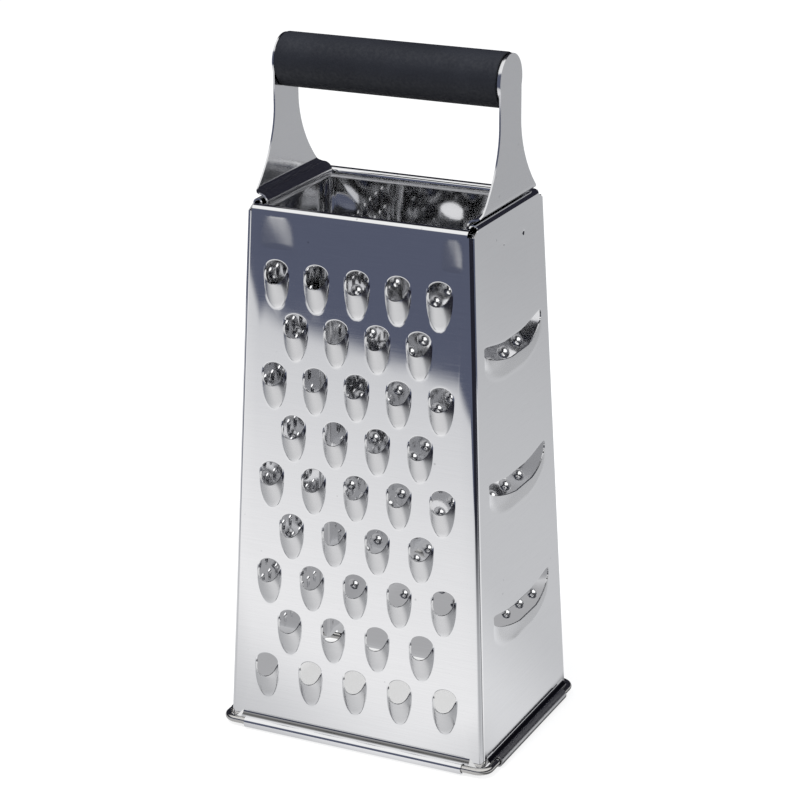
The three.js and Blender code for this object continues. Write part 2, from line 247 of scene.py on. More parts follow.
def stamped(bm, rings, places):
    """The same pressed form at many places; gives the edges of the outer rings."""
    outer = ringed(bm, rings)
    grown = {f for v in outer for f in v.link_faces}
    more = grown
    while more:
        more = {f for g in grown for e in g.edges for f in e.link_faces} - grown
        grown |= more
    verts = {v for f in grown for v in f.verts}
    edges = {e for f in grown for e in f.edges}
    rims = []
    rim = ring_edges(outer)
    source = list(verts) + list(edges) + list(grown)
    for place in places[1:]:
        copy = bmesh.ops.duplicate(bm, geom=source)
        bmesh.ops.translate(bm, verts=verts_of(copy["geom"]), vec=place)
        rims += [copy["edge_map"][e] for e in rim]
    bmesh.ops.translate(bm, verts=list(verts), vec=places[0])
    return rims + rim


def rolled(bm, edges, centre, axis, degrees, steps):
    """Rolls the sheet on from some of its edges round an axis; gives the new end edges."""
    geom = list(edges) + list({v for e in edges for v in e.verts})
    out = bmesh.ops.spin(
        bm, geom=geom, cent=centre, axis=axis, dvec=(0, 0, 0), angle=math.radians(degrees), steps=steps,
        use_merge=False, use_duplicate=False,
    )
    return edges_of(out["geom_last"])


def drawn(bm, edges, shift):
    """Draws the sheet straight on from some of its edges; gives the new end edges."""
    out = bmesh.ops.extrude_edge_only(bm, edges=list(edges))
    bmesh.ops.translate(bm, verts=verts_of(out["geom"]), vec=shift)
    fresh = set(verts_of(out["geom"]))
    return [e for e in edges_of(out["geom"]) if e.verts[0] in fresh and e.verts[1] in fresh]


def edges_between(bm, test):
    """Open edges with both ends passing a test."""
    return [e for e in bm.edges if e.is_boundary and all(test(v.co) for v in e.verts)]


def blank(bm, outline):
    """The flat part of a sheet: a narrow border, and the outline of the field inside it."""
    face = bm.faces.new([bm.verts.new((0, y, z)) for y, z in outline])
    bmesh.ops.inset_region(bm, faces=[face], thickness=EDGE_STRIP, use_even_offset=True)
    field = list(face.edges)
    bmesh.ops.delete(bm, geom=[face], context="FACES_ONLY")
    return field


def filled(bm, edges):
    """Closes the flat field between its outline and the pressed forms."""
    bmesh.ops.triangle_fill(bm, use_beauty=True, use_dissolve=False, edges=edges, normal=(1, 0, 0))


def joined(bm):
    """Joins points that coincide and turns all faces the same way."""
    bmesh.ops.remove_doubles(bm, verts=bm.verts, dist=NEAR)
    bmesh.ops.recalc_face_normals(bm, faces=bm.faces)


def marked(bm, wear_and_shade):
    """Marks how far the sheet is drawn or shows wear, which also darkens its colour as painted shade, and
    how much painted shade darkens the crevice of its flare.
    """
    # The first layer sets roughness and painted shade; the second sets painted shade only.
    pressed = bm.verts.layers.float.new("pressed")
    groove_shade = bm.verts.layers.float.new("groove_shade")
    for v in bm.verts:
        x, y, z = v.co
        out = x / WIRE_OUT
        in_hollow = HOLLOW_LOW < z < HOLLOW_TOP and -HOLLOW_LIMIT < x < 0
        if in_hollow and abs(y) < wide_flat(z) - EDGE_STRIP:
            v[pressed] = min(-x / HOLLOW_FULL, 1.0) * HOLLOW_HAZE_AND_SHADE
        elif FLARE_Z < z < RIM_Z - RIM_RADIUS:
            v[pressed] = min(max(x / FULL_PRESS, 0.0), 1.0)
        elif z < FLARE_Z:
            v[pressed] = wear_and_shade if out > WEAR_AND_SHADE_FROM else 0.0
            # Painted shade fills the crevice of the flare, darkest halfway out.
            if 0 < out < 1 and z > WIRE_Z + WIRE_RADIUS:
                v[groove_shade] = math.sqrt(math.sin(math.pi * out))


def sheet_piece(name, bm, thickness, place, material, wear_and_shade=0.0):
    """Gives a sheet its thickness on the inner side, marks it and puts it in place."""
    joined(bm)
    widest = max(bm.faces, key=lambda f: f.calc_area())
    if widest.normal.x < 0:
        bmesh.ops.reverse_faces(bm, faces=bm.faces)
    bmesh.ops.solidify(bm, geom=list(bm.faces), thickness=thickness)
    marked(bm, wear_and_shade)
    return piece(name, bm, place, material)


def piece(name, bm, place, material):
    """Puts a mesh in place as one named piece of the body."""
    bmesh.ops.transform(bm, matrix=place, verts=bm.verts)
    if place.determinant() < 0:
        bmesh.ops.reverse_faces(bm, faces=bm.faces)
    for face in bm.faces:
        face.smooth = True
    for edge in bm.edges:
        edge.smooth = edge.calc_face_angle(0.0) < math.radians(SHARP_EDGE)
    mesh = bpy.data.meshes.new(name)
    bm.to_mesh(mesh)
    bm.free()
    mesh.materials.append(material)
    made = bpy.data.objects.new(name, mesh)
    bpy.context.scene.collection.objects.link(made)
    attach(made, "root")
    return made


# Panels.
def wide_sheet(bm):
    """Outline of a front or back panel's field; folds and curls are rolled on afterwards."""
    curl = BASE_WIDTH / 2 - FRONT_CURL_CUT
    low = wide_flat(CORNER_LOW)
    right = [
        (curl, FLARE_Z), (low - FRONT_TAB, FLARE_Z), (low, CORNER_LOW),
        (wide_flat(FLANGE_TOP), FLANGE_TOP), (wide_flat(RIM_Z), RIM_Z),
    ]
    return blank(bm, both_sides(right))


def level_edges(bm, z, half):
    """Open edges of the flat sheet at one height, as far out as a half width."""
    return edges_between(
        bm, lambda co: abs(co.z - z) < NEAR and abs(co.y) < half + NEAR and abs(co.x) < ON_SHEET)


def bottom_edge(bm, curl):
    """Flares the bottom edge outward, then rolls all but its ends round the wire and back to the sheet."""
    edges = level_edges(bm, FLARE_Z, BASE_WIDTH)
    edges = rolled(bm, edges, (WIRE_OUT, 0, FLARE_Z), (0, 1, 0), -90, FLARE_STEPS)
    edges = [e for e in edges if all(abs(v.co.y) < curl + NEAR for v in e.verts)]
    edges = rolled(bm, edges, (WIRE_OUT, 0, WIRE_Z), (0, 1, 0), CURL_TURN, CURL_STEPS)
    drawn(bm, edges, (0, 0, FLARE_Z - WIRE_Z))


def top_curl(bm, z, half, radius):
    """Rolls the top edge inward."""
    rolled(bm, level_edges(bm, z, half), (-radius, 0, z), (0, 1, 0), -RIM_TURN, RIM_STEPS)


def corner_folds(bm):
    """Folds both sides round the corners, with an inner flange up to below the hooks of the arms."""
    lean = wide_flat(1.0) - wide_flat(0.0)
    for side in (-1, 1):
        def on_edge(co, side=side):
            return abs(co.y - side * wide_flat(co.z)) < NEAR and abs(co.x) < ON_SHEET
        edges = edges_between(bm, on_edge)
        centre = (-CORNER_RADIUS, side * wide_flat(0.0), 0)
        ends = rolled(bm, edges, centre, (0, side * lean, 1), 90 * side, FOLD_STEPS)
        low = [e for e in ends if min(v.co.z for v in e.verts) < FLANGE_TOP - FOLD_SHIFT]
        drawn(bm, low, (-FLANGE, 0, 0))


def finish_wide(bm):
    bottom_edge(bm, BASE_WIDTH / 2 - FRONT_CURL_CUT)
    top_curl(bm, RIM_Z, wide_flat(RIM_Z), RIM_RADIUS)
    corner_folds(bm)


def narrow_sheet(bm):
    """Outline of a side panel's field."""
    curl = BASE_DEPTH / 2 - SIDE_CURL_CUT
    low = narrow_flat(CORNER_LOW)
    shoulder = SIDE_RIM_Z - SIDE_RIM_RADIUS
    right = [
        (curl, FLARE_Z), (low - SIDE_TAB, FLARE_Z), (low, CORNER_LOW),
        (narrow_flat(shoulder), shoulder), (SIDE_RIM_HALF, SIDE_RIM_Z),
    ]
    return blank(bm, both_sides(right))


def finish_narrow(bm):
    bottom_edge(bm, BASE_DEPTH / 2 - SIDE_CURL_CUT)
    top_curl(bm, SIDE_RIM_Z, SIDE_RIM_HALF, SIDE_RIM_RADIUS)


# Scoops: the sheet bulges out below each hole and dips in a little above it.
class Scoop:
    """Sizes of one pressed scoop, from its hole down to the tip of its tongue."""

    def __init__(self, width, rise, hole_up, shoulder, lip, tip, border, dip, apron):
        self.half = width / 2
        self.rise = rise
        self.hole_up = hole_up
        self.shoulder = shoulder
        self.lip = lip
        self.tip = tip
        self.border = border
        self.dip = dip
        self.apron = apron


COARSE = Scoop(
    width=9.5, rise=3.0, hole_up=3.7, shoulder=0.5, lip=-3.5, tip=-12.4, border=1.4, dip=0.5, apron=0.03)
FINE = Scoop(
    width=3.2, rise=1.0, hole_up=1.35, shoulder=0.2, lip=-0.8, tip=-3.9, border=0.45, dip=0.12, apron=0.0)
# Outline and section of a scoop; shares run from the edge of its hole, 0, to the flat sheet, 1.
TAPER = 2.5
NEAR_TIP = 0.9999
APRON_START = 0.5
APRON_GROWTH = 0.4
LEAST_STEEP = 0.1
TOP_EDGE_SHARE = 0.4
FALL_POWER = 0.75
SIDE_POWER = 3
DIP_POWER = 4
SIDE_SHARE = 0.05
NARROWING = 0.55
HOLE_SHARE = 0.88
FILLET_START = 0.97
FILLET_END = 1.0
EDGE_RING = 0.75
COARSE_SHARES = (1.0, 0.9, 0.8, 0.765, 0.75, 0.735, 0.71, 0.66, 0.58, 0.47, 0.35, 0.22, 0.1, 0.04, 0.0)
FINE_SHARES = (1.0, 0.8, 0.75, 0.4, 0.0)


def scoop_section(w):
    """Cross-section of a scoop: round on top, with a small fillet where it meets the flat sheet."""
    if w < FILLET_START:
        return math.sqrt(1 - w * w)
    if w > FILLET_END:
        return 0.0
    reach = FILLET_END - FILLET_START
    t = (w - FILLET_START) / reach
    first = math.sqrt(1 - FILLET_START ** 2)
    slope = -FILLET_START / first * reach
    return first * (2 * t ** 3 - 3 * t ** 2 + 1) + slope * (t ** 3 - 2 * t ** 2 + t)


def scoop_half(form, v):
    """Half the width of a tongue at a height."""
    share = min(max((form.shoulder - v) / (form.shoulder - form.tip), 0.0), NEAR_TIP)
    return form.half * math.sqrt(1 - share ** TAPER)


def scoop_height(form, u, v):
    """How far a tongue stands out at a point."""
    ridge = form.rise * min((v - form.tip) / (form.lip - form.tip), 1.0)
    return max(ridge, 0.0) * scoop_section(abs(u) / scoop_half(form, v))


def apron_height(form, u, v):
    """Sheet drawn up a little round the tongue; the outline is where the sum below is one."""
    length = form.shoulder - form.tip
    along = max((form.shoulder - v) / length, 0.0)
    beyond = (u / form.half) ** 2 + along ** TAPER - 1
    steep = math.hypot(2 * u / form.half ** 2, TAPER * along ** (TAPER - 1) / length)
    gap = max(beyond, 0.0) / max(steep, LEAST_STEEP)
    low = min(max((along - APRON_START) / APRON_GROWTH, 0.0), 1.0)
    border = form.border * (1 - NARROWING * min(along, 1.0))
    return low * form.apron * max(1 - gap / border, 0.0) ** 2


def scoop_point(form, angle, share):
    """One point of a scoop: hole's edge at share 0, outline of the form at EDGE_RING, flat sheet at 1."""
    c, s = math.cos(angle), math.sin(angle)
    hole_half = form.half * HOLE_SHARE
    up = form.hole_up - form.shoulder
    if s >= 0:
        hole = Vector((hole_half * c, form.shoulder + up * s))
        edge = Vector((form.half * c, form.shoulder + (up + TOP_EDGE_SHARE * form.border) * s))
        outer = Vector(((form.half + form.border) * c, form.shoulder + (up + form.border) * s))
    else:
        hole = Vector((hole_half * c, form.shoulder + (form.shoulder - form.lip) * s))
        fall = abs(s) ** FALL_POWER
        v = form.shoulder - (form.shoulder - form.tip) * fall
        half = scoop_half(form, v)
        spread = form.border * (1 - NARROWING * fall)
        edge = Vector((math.copysign(half, c), v))
        outer = Vector((math.copysign(half + spread, c), v - (1 - NARROWING) * form.border * fall))
    inner = min(share / EDGE_RING, 1.0)
    at = hole.lerp(edge, inner)
    if share > EDGE_RING:
        at = edge.lerp(outer, (share - EDGE_RING) / (1 - EDGE_RING))
    if s >= 0:
        across = scoop_section(HOLE_SHARE + (1 - HOLE_SHARE) * inner) / scoop_section(HOLE_SHARE)
        sink = form.dip * s * (1 - share) ** DIP_POWER
        return Vector((SIDE_SHARE * form.rise * (1 - s) ** SIDE_POWER * across - sink, at.x, at.y))
    lift = (SIDE_SHARE + (1 - SIDE_SHARE) * abs(s)) * form.rise / scoop_height(form, hole.x, hole.y)
    height = lift * scoop_height(form, at.x, at.y) if share < EDGE_RING else 0.0
    return Vector((height + apron_height(form, at.x, at.y), at.x, at.y))


def scoop_rings(form, count, shares):
    return [[scoop_point(form, a, share) for a in ring_angles(count, 0.5)] for share in shares]


def scoop_places():
    """Rows from the top down, in turn full and one short; columns close up with the taper."""
    places = []
    top = RIM_HEIGHT - SCOOP_TOP_MARGIN
    for row in range(int((top - SCOOP_LOW) / SCOOP_ROW_PITCH) + 1):
        z = top - row * SCOOP_ROW_PITCH
        count = SCOOP_COLUMNS - row % 2
        pitch = SCOOP_COLUMN_SHARE * 2 * half_width(z)
        for k in range(count):
            places.append(Vector((0, (k - (count - 1) / 2) * pitch, z)))
    return places


# Hollows under the front rim and small round dents, both pressed inward.
HOLLOW_SQUARE = 0.5
HOLLOW_SHARES = (1.0, 0.93, 0.84, 0.74, 0.62, 0.5, 0.38, 0.25, 0.12, 0.0)
DENT_SECTION = ((1.0, 0.0), (0.86, 0.04), (0.7, 0.2), (0.52, 0.47), (0.34, 0.75), (0.16, 0.94), (0.0, 1.0))


def hollow_point(wide, deep, angle, share):
    """One point of a hollow under the rim, which falls off to its ends and slowly to its top."""
    middle, half = (HOLLOW_TOP + HOLLOW_LOW) / 2, (HOLLOW_TOP - HOLLOW_LOW) / 2
    u = wide * share * squared(math.cos(angle), HOLLOW_SQUARE)
    edge = middle + half * squared(math.sin(angle), HOLLOW_SQUARE)
    z = HOLLOW_DEEPEST + share * (edge - HOLLOW_DEEPEST)
    end = HOLLOW_TOP if z > HOLLOW_DEEPEST else HOLLOW_LOW
    t = (z - HOLLOW_DEEPEST) / (end - HOLLOW_DEEPEST)
    bell = max(1 - (u / wide) ** 2, 0.0) ** 2
    return Vector((-deep * bell * (1 - t * t), u, z))


def rim_hollows(bm):
    edges = []
    for y, wide, deep in RIM_HOLLOWS:
        angles = ring_angles(HOLLOW_POINTS, 0.5)
        rings = [[hollow_point(wide, deep, a, share) for a in angles] for share in HOLLOW_SHARES]
        edges += stamped(bm, rings, [Vector((0, y, 0))])
    return edges


def dents(bm):
    edges = []
    for place, wide, high, deep in DENTS:
        angles = ring_angles(DENT_POINTS)
        rings = [[Vector((-deep * h, wide * r * math.cos(a), high * r * math.sin(a))) for a in angles]
                 for r, h in DENT_SECTION]
        edges += stamped(bm, rings, [place])
    return edges


def front_panel(material):
    bm = bmesh.new()
    field = wide_sheet(bm)
    scoops = stamped(bm, scoop_rings(COARSE, COARSE_POINTS, COARSE_SHARES), scoop_places())
    filled(bm, field + scoops + rim_hollows(bm))
    finish_wide(bm)
    made = sheet_piece("front_panel", bm, SHEET, on_side(half_depth, -90), material)
    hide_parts("front_panel_coarse")
    return made


# Slicing slots: a long curved opening with its lower edge raised outward.
SLOT_SQUARE = 0.4
SLOT_WIDENING = 1.04
SLOT_TOP_BORDER = 1.1
SLOT_DIP = 0.12
SLOT_END_NARROWING = 0.35
SLOT_CORNER = 2.2
SLOT_FADE = 1.35
SLOT_ROUNDED = 0.35
SLOT_SHARES = (1.12, 1.0, 0.9, 0.75, 0.58, 0.4, 0.22, 0.08, 0.0)


def slot_point(angle, share):
    """One point of a slot: the edge of its opening at share 0, the flat sheet from share 1."""
    c, s = math.cos(angle), math.sin(angle)
    u = SLOT_LENGTH / 2 * squared(c, SLOT_SQUARE)
    w = 2 * u / SLOT_LENGTH
    lip = SLOT_SAG * w * w
    hole = Vector((u, lip + SLOT_OPENING * (1 + squared(s, SLOT_SQUARE)) / 2))
    if s >= 0:
        outer = Vector((u * SLOT_WIDENING, hole.y + SLOT_TOP_BORDER * s))
        at = hole.lerp(outer, share)
        return Vector((-SLOT_DIP * s * max(1 - share, 0) ** 2, at.x, at.y))
    ramp = SLOT_RAMP * (1 - SLOT_END_NARROWING * w ** 4)
    deep = min(abs(s) * SLOT_CORNER, 1.0)
    outer = Vector((u * SLOT_WIDENING, hole.y - ramp * deep))
    at = hole.lerp(outer, share)
    fade = 1 - min(share, 1.0) ** SLOT_FADE
    swell = fade * fade * (3 - 2 * fade) * SLOT_ROUNDED + fade * (1 - SLOT_ROUNDED)
    return Vector((SLOT_RISE * (1 - w * w) * deep * swell, at.x, at.y))


def slot_rings():
    return [[slot_point(a, share) for a in ring_angles(SLOT_POINTS, 0.5)] for share in SLOT_SHARES]


def slot_places():
    top = RIM_HEIGHT - SLOT_TOP_MARGIN
    count = int((top - SLOT_LOW) / SLOT_PITCH) + 1
    return [Vector((0, 0, top - i * SLOT_PITCH)) for i in range(count)]


def right_panel(material):
    bm = bmesh.new()
    field = narrow_sheet(bm)
    slots = stamped(bm, slot_rings(), slot_places())
    filled(bm, field + slots + dents(bm))
    finish_narrow(bm)
    place = on_side(half_width, 0)
    made = sheet_piece("right_panel", bm, SHEET, place, material, CURL_WEAR_AND_SHADE)
    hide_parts("right_panel_slicer")
    return made


# Rasp and fine faces: staggered patterns of small pressed forms.
def staggered(low, high, row, column, room):
    """Places in rows, every other row shifted by half a column, as far out as there is room."""
    places = []
    for r in range(int((high - low) / row) + 1):
        z = low + r * row
        odd = 1 - r % 2
        reach = math.floor((room(z) - odd * column / 2) / column)
        places += [Vector((0, (k - odd / 2) * column, z)) for k in range(-reach, reach + 1 + odd)]
    return places


# A burr by radius and height; the last ring is its torn edge, one point up and two down.
BURR_SHAPE = ((2.46, 0.0), (2.3, 0.0), (2.15, 0.06), (1.75, 0.4), (1.35, 0.85), (1.05, 1.3))
TORN_EDGE = (0.3, -0.18, -0.18)


def burr_rings():
    """A hole punched outward: a smooth funnel from inside, a torn crown of points outside."""
    rings = [[Vector((h, r * math.cos(a), r * math.sin(a))) for a in ring_angles(BURR_POINTS)]
             for r, h in BURR_SHAPE]
    for i, point in enumerate(rings[-1]):
        point.x += TORN_EDGE[i % len(TORN_EDGE)]
    return rings


def back_panel(material):
    bm = bmesh.new()
    field = wide_sheet(bm)
    high = RIM_HEIGHT - RASP_TOP_MARGIN
    places = staggered(RASP_LOW, high, RASP_ROW, 2 * RASP_COLUMN, lambda z: wide_flat(z) - RASP_MARGIN)
    filled(bm, field + stamped(bm, burr_rings(), places))
    finish_wide(bm)
    made = sheet_piece("back_panel", bm, SHEET, on_side(half_depth, 90), material)
    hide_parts("back_panel_rasp")
    return made


def left_panel(material):
    bm = bmesh.new()
    field = narrow_sheet(bm)
    high = RIM_HEIGHT - SLIT_TOP_MARGIN
    places = staggered(SLIT_LOW, high, SLIT_ROW, SLIT_COLUMN, lambda z: narrow_flat(z) - SLIT_MARGIN)
    filled(bm, field + stamped(bm, scoop_rings(FINE, FINE_POINTS, FINE_SHARES), places))
    finish_narrow(bm)
    place = on_side(half_width, 180)
    made = sheet_piece("left_panel", bm, SHEET, place, material, CURL_WEAR_AND_SHADE)
    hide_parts("left_panel_fine")
    return made


# Base wire: one round section taken along the four sides and round the four corners.
def base_wire(material):
    bm = bmesh.new()
    a = half_width(WIRE_Z) + WIRE_OUT - WIRE_BEND
    b = half_depth(WIRE_Z) + WIRE_OUT - WIRE_BEND
    ring = bmesh.ops.create_circle(bm, segments=WIRE_POINTS, radius=WIRE_RADIUS)["verts"]
    turn = Matrix.Translation((a + WIRE_BEND, -b, WIRE_Z)) @ Matrix.Rotation(math.radians(90), 4, "X")
    bmesh.ops.transform(bm, matrix=turn, verts=ring)
    edges = ring_edges(ring)
    corners = ((a, b), (-a, b), (-a, -b), (a, -b))
    runs = ((0, 2 * b, 0), (-2 * a, 0, 0), (0, -2 * b, 0), (2 * a, 0, 0))
    for (x, y), run in zip(corners, runs):
        edges = drawn(bm, edges, run)
        edges = rolled(bm, edges, (x, y, 0), (0, 0, 1), 90, WIRE_STEPS)
    joined(bm)
    made = piece("base_ring", bm, IN_PLACE, material)
    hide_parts("base_wire")
    return made


# Arms: a plate with a curved foot, a ring for the grip inside its round head, and a hook below.
FOOT_PULL = 0.5
FOOT_LOW_PULL = 0.22
FOOT_HIGH_PULL = 0.62
ARM_BORDER = 0.2
# The bend from plate to hook, point by point: share of the step outward and millimetres more,
# share of the joggle upward and millimetres more.
ARM_BEND = (
    (1.0, 0.28, 0.725, 0.0), (0.9, 0.2, 0.45, 0.0), (0.72, 0.12, 0.2, 0.2),
    (0.5, 0.0, 0.08, 0.3), (0.25, 0.0, 0.0, 0.32), (0.0, 0.0, 0.0, 0.3),
)


def arm_half(z):
    """Half-width of the arm's foot at a height, on the same curve as the solid's."""
    foot = SIDE_RIM_HALF - ARM_FOOT_INSET
    neck = CAP_RADIUS * math.cos(math.radians(NECK_ANGLE))
    low = SIDE_RIM_Z + HOOK_PATH
    reach = GRIP_Z - NECK_DROP - low
    best = None
    for i in range(CURVE_STEPS + 1):
        t = i / CURVE_STEPS
        k = ((1 - t) ** 3, 3 * t * (1 - t) ** 2, 3 * t * t * (1 - t), t ** 3)
        y = k[0] * foot + k[1] * (foot - (foot - neck) * FOOT_PULL) + (k[2] + k[3]) * neck
        height = low + reach * (k[1] * FOOT_LOW_PULL + k[2] * FOOT_HIGH_PULL + k[3])
        if best is None or abs(height - z) < abs(best[1] - z):
            best = (y, height)
    return best[0]


def arm_plate(bm, outer, knee):
    """The flat plate of an arm, from its knee up to its round head."""
    high = GRIP_Z - NECK_DROP
    heights = [knee + (high - knee) * i / ARM_STEPS for i in range(ARM_STEPS + 1)]
    edge = [(arm_half(z), z) for z in heights]
    sweep = 180 + 2 * NECK_ANGLE
    turns = [math.radians(-NECK_ANGLE + sweep * i / CAP_STEPS) for i in range(CAP_STEPS + 1)]
    cap = [(CAP_RADIUS * math.cos(t), GRIP_Z + CAP_RADIUS * math.sin(t)) for t in turns]
    outline = edge + cap + [(-y, z) for y, z in reversed(edge)]
    face = bm.faces.new([bm.verts.new((outer, y, z)) for y, z in outline])
    bmesh.ops.inset_region(bm, faces=[face], thickness=ARM_BORDER, use_even_offset=True)


def arm(name, node, side, material):
    bm = bmesh.new()
    outer = ARM_X + ARM_SHEET / 2
    top = SIDE_RIM_Z + HOOK_PATH
    knee = top + ARM_JOGGLE
    arm_plate(bm, outer, knee)
    boss = bmesh.ops.create_circle(bm, segments=BOSS_POINTS, radius=BOSS_RADIUS)["verts"]
    turn = Matrix.Translation((ARM_X, 0, GRIP_Z)) @ Matrix.Rotation(math.radians(90), 4, "Y")
    bmesh.ops.transform(bm, matrix=turn, verts=boss)
    drawn(bm, ring_edges(boss), (-BOSS_DEPTH - ARM_SHEET / 2, 0, 0))
    foot = edges_between(bm, lambda co: abs(co.z - knee) < NEAR)
    centre = half_width(SIDE_RIM_Z) - SIDE_RIM_RADIUS
    before = (outer, knee)
    for out_share, out, up_share, up in ARM_BEND:
        x = centre + (ARM_X - centre) * out_share + out
        z = top + ARM_JOGGLE * up_share + up
        foot = drawn(bm, foot, (x - before[0], 0, z - before[1]))
        for v in {v for e in foot for v in e.verts}:
            v.co.y = math.copysign(arm_half(z), v.co.y)
        before = (x, z)
    rolled(bm, foot, (centre, 0, SIDE_RIM_Z), (0, 1, 0), -(HOOK_END - 90), HOOK_STEPS)
    place = IN_PLACE @ Matrix.Scale(side, 4, (1, 0, 0))
    made = sheet_piece(name, bm, ARM_SHEET, place, material)
    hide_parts(node)
    return made


# Grip: a plain round bar with eased ends, bored to fit over the rings on the arms.
EASE_START = 0.13
EASE_MIDDLE = 0.5
EASE_BAND = 4


def grip_end(x):
    """Half outline of one end: floor of the bore, end face, eased edge and the start of the bar."""
    bore = BOSS_RADIUS + FIT
    ease = GRIP_CHAMFER
    return [
        (x - BOSS_DEPTH, 0.0), (x - BOSS_DEPTH, bore), (x, bore), (x, GRIP_RADIUS - ease),
        (x - EASE_START * ease, GRIP_RADIUS - EASE_MIDDLE * ease),
        (x - EASE_MIDDLE * ease, GRIP_RADIUS - EASE_START * ease),
        (x - ease, GRIP_RADIUS), (x - EASE_BAND * ease, GRIP_RADIUS),
    ]


def grip(material):
    bm = bmesh.new()
    reach = ARM_X - ARM_SHEET / 2 - FIT
    profile = [(-x, r) for x, r in grip_end(reach)] + grip_end(reach - GRIP_PLAY)[::-1]
    line = [bm.verts.new((x, 0, GRIP_Z + r)) for x, r in profile]
    edges = [bm.edges.new(pair) for pair in zip(line, line[1:])]
    bmesh.ops.spin(
        bm, geom=line + edges, cent=(0, 0, GRIP_Z), axis=(1, 0, 0), dvec=(0, 0, 0), angle=2 * math.pi,
        steps=GRIP_STEPS, use_merge=True, use_duplicate=False,
    )
    joined(bm)
    made = piece("grip_bar", bm, IN_PLACE, material)
    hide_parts("grip")
    return made


# Materials and light are built from nodes.
class Tree:
    """Short ways to add nodes to one material, world or group."""

    def __init__(self, tree):
        self.nodes = tree.nodes
        self.links = tree.links

    def feed(self, socket, value):
        """Sets a socket to a fixed value, or links it to the output of another node."""
        if isinstance(value, bpy.types.NodeSocket):
            self.links.new(value, socket)
        else:
            socket.default_value = (*value, 1) if socket.type == "RGBA" else value

    def add(self, kind, inputs=None, **settings):
        """A new node with its settings and inputs; inputs go by name or number."""
        node = self.nodes.new("ShaderNode" + kind)
        for key, value in settings.items():
            setattr(node, key, value)
        for key, value in (inputs or {}).items():
            self.feed(node.inputs[key], value)
        return node

    def place(self, kind="Object"):
        return self.add("TexCoord").outputs[kind]

    def attribute(self, name):
        return self.add("Attribute", attribute_name=name).outputs["Fac"]

    def maths(self, operation, *values):
        return self.add("Math", dict(enumerate(values)), operation=operation).outputs["Value"]

    def both(self, first, second):
        return self.maths("MULTIPLY", first, second)

    def step(self, value, low, high, out_low=0.0, out_high=1.0):
        """A smooth step of a value from one range to another."""
        ends = {"Value": value, "From Min": low, "From Max": high, "To Min": out_low, "To Max": out_high}
        return self.add("MapRange", ends, interpolation_type="SMOOTHSTEP").outputs["Result"]

    def fade(self, value, low, high):
        return self.step(value, low, high, 1.0, 0.0)

    def mix(self, factor, first, second):
        """Mixes two colours; each is a fixed colour or the output of another node."""
        return self.add("Mix", {"Factor": factor, 6: first, 7: second}, data_type="RGBA").outputs[2]

    def along(self, vector, direction):
        return self.add("VectorMath", {0: vector, 1: direction}, operation="DOT_PRODUCT").outputs["Value"]

    def noise(self, vector, scale, detail, roughness=0.5):
        inputs = {"Vector": vector, "Scale": scale, "Detail": detail, "Roughness": roughness}
        return self.add("TexNoise", inputs).outputs["Fac"]

    def bump(self, height, depth, strength=1.0, below=None):
        inputs = {"Strength": strength, "Distance": depth, "Height": height}
        if below is not None:
            inputs["Normal"] = below
        return self.add("Bump", inputs).outputs["Normal"]

    def by_ray(self, plain, mirrored, seen):
        """One shader for the camera, one for what shiny things reflect and one for all other light."""
        path = self.add("LightPath").outputs
        rest = self.add("MixShader", {"Fac": path["Is Glossy Ray"], 1: plain, 2: mirrored}).outputs["Shader"]
        return self.add("MixShader", {"Fac": path["Is Camera Ray"], 1: rest, 2: seen}).outputs["Shader"]


def new_material(name):
    made = bpy.data.materials.new(name)
    made.use_nodes = True
    return made, Tree(made.node_tree), made.node_tree.nodes["Principled BSDF"].inputs


def new_group(name, inputs, outputs):
    group = bpy.data.node_groups.new(name, "ShaderNodeTree")
    for key, value in inputs.items():
        group.interface.new_socket(key, in_out="INPUT", socket_type="NodeSocketFloat").default_value = value
    for key in outputs:
        group.interface.new_socket(key, in_out="OUTPUT", socket_type="NodeSocketFloat")
    given = group.nodes.new("NodeGroupInput").outputs
    made = group.nodes.new("NodeGroupOutput").inputs
    return group, Tree(group), given, made


# Scales are per metre, depths are metres, colours are linear.
BRUSHING = {"Along": 70.0, "Across": 4200.0, "Wave Size": 26.0}
STREAK_DETAIL = 4.0
STREAK_ROUGHNESS = 0.65
STREAK_RANGE = (0.3, 0.7)
WAVE_DETAIL = 1.0
STEEL_SPECKS = {"Size": 170.0, "Reach": 0.1, "Rarity": 0.8}
SPECK_CORE = 0.03
STEEL_SPECK_SHARE = 0.35
STEEL_SPECK = (0.25, 0.25, 0.26)
DRAWN_ROUGHNESS = 0.2
# Painted shade: share and colour by which drawn places and places with wear are darkened.
DRAWN_SHADE = 0.2
SHADE_BLACK = (0.0, 0.0, 0.0)
# Painted shade in the crevice of the flare: its share and colour.
GROOVE_SHADE_SHARE = 0.9
GROOVE_SHADE_COLOUR = (0.03, 0.028, 0.026)

GRIP_SPECKS = {"Size": 150.0, "Reach": 0.09, "Rarity": 0.86}
GRIP_SPECK_SHARE = 0.5
GRIP_SPECK = (0.12, 0.125, 0.14)
GRIP_DARK = (0.010, 0.0115, 0.017)
GRIP_LIGHT = (0.015, 0.0168, 0.0235)
GRIP_CLOUD_SIZE = 60.0
GRIP_CLOUD_DETAIL = 4.0
GRIP_CLOUD_RANGE = (0.35, 0.7)
GRIP_GRAIN_SIZE = 900.0
GRIP_GRAIN_DETAIL = 3.0
GRIP_GRAIN_RANGE = (0.3, 0.7)
GRIP_ROUGHNESS = (0.55, 0.72)
GRIP_GRAIN_DEPTH = 0.0002
GRIP_GRAIN_STRENGTH = 0.6


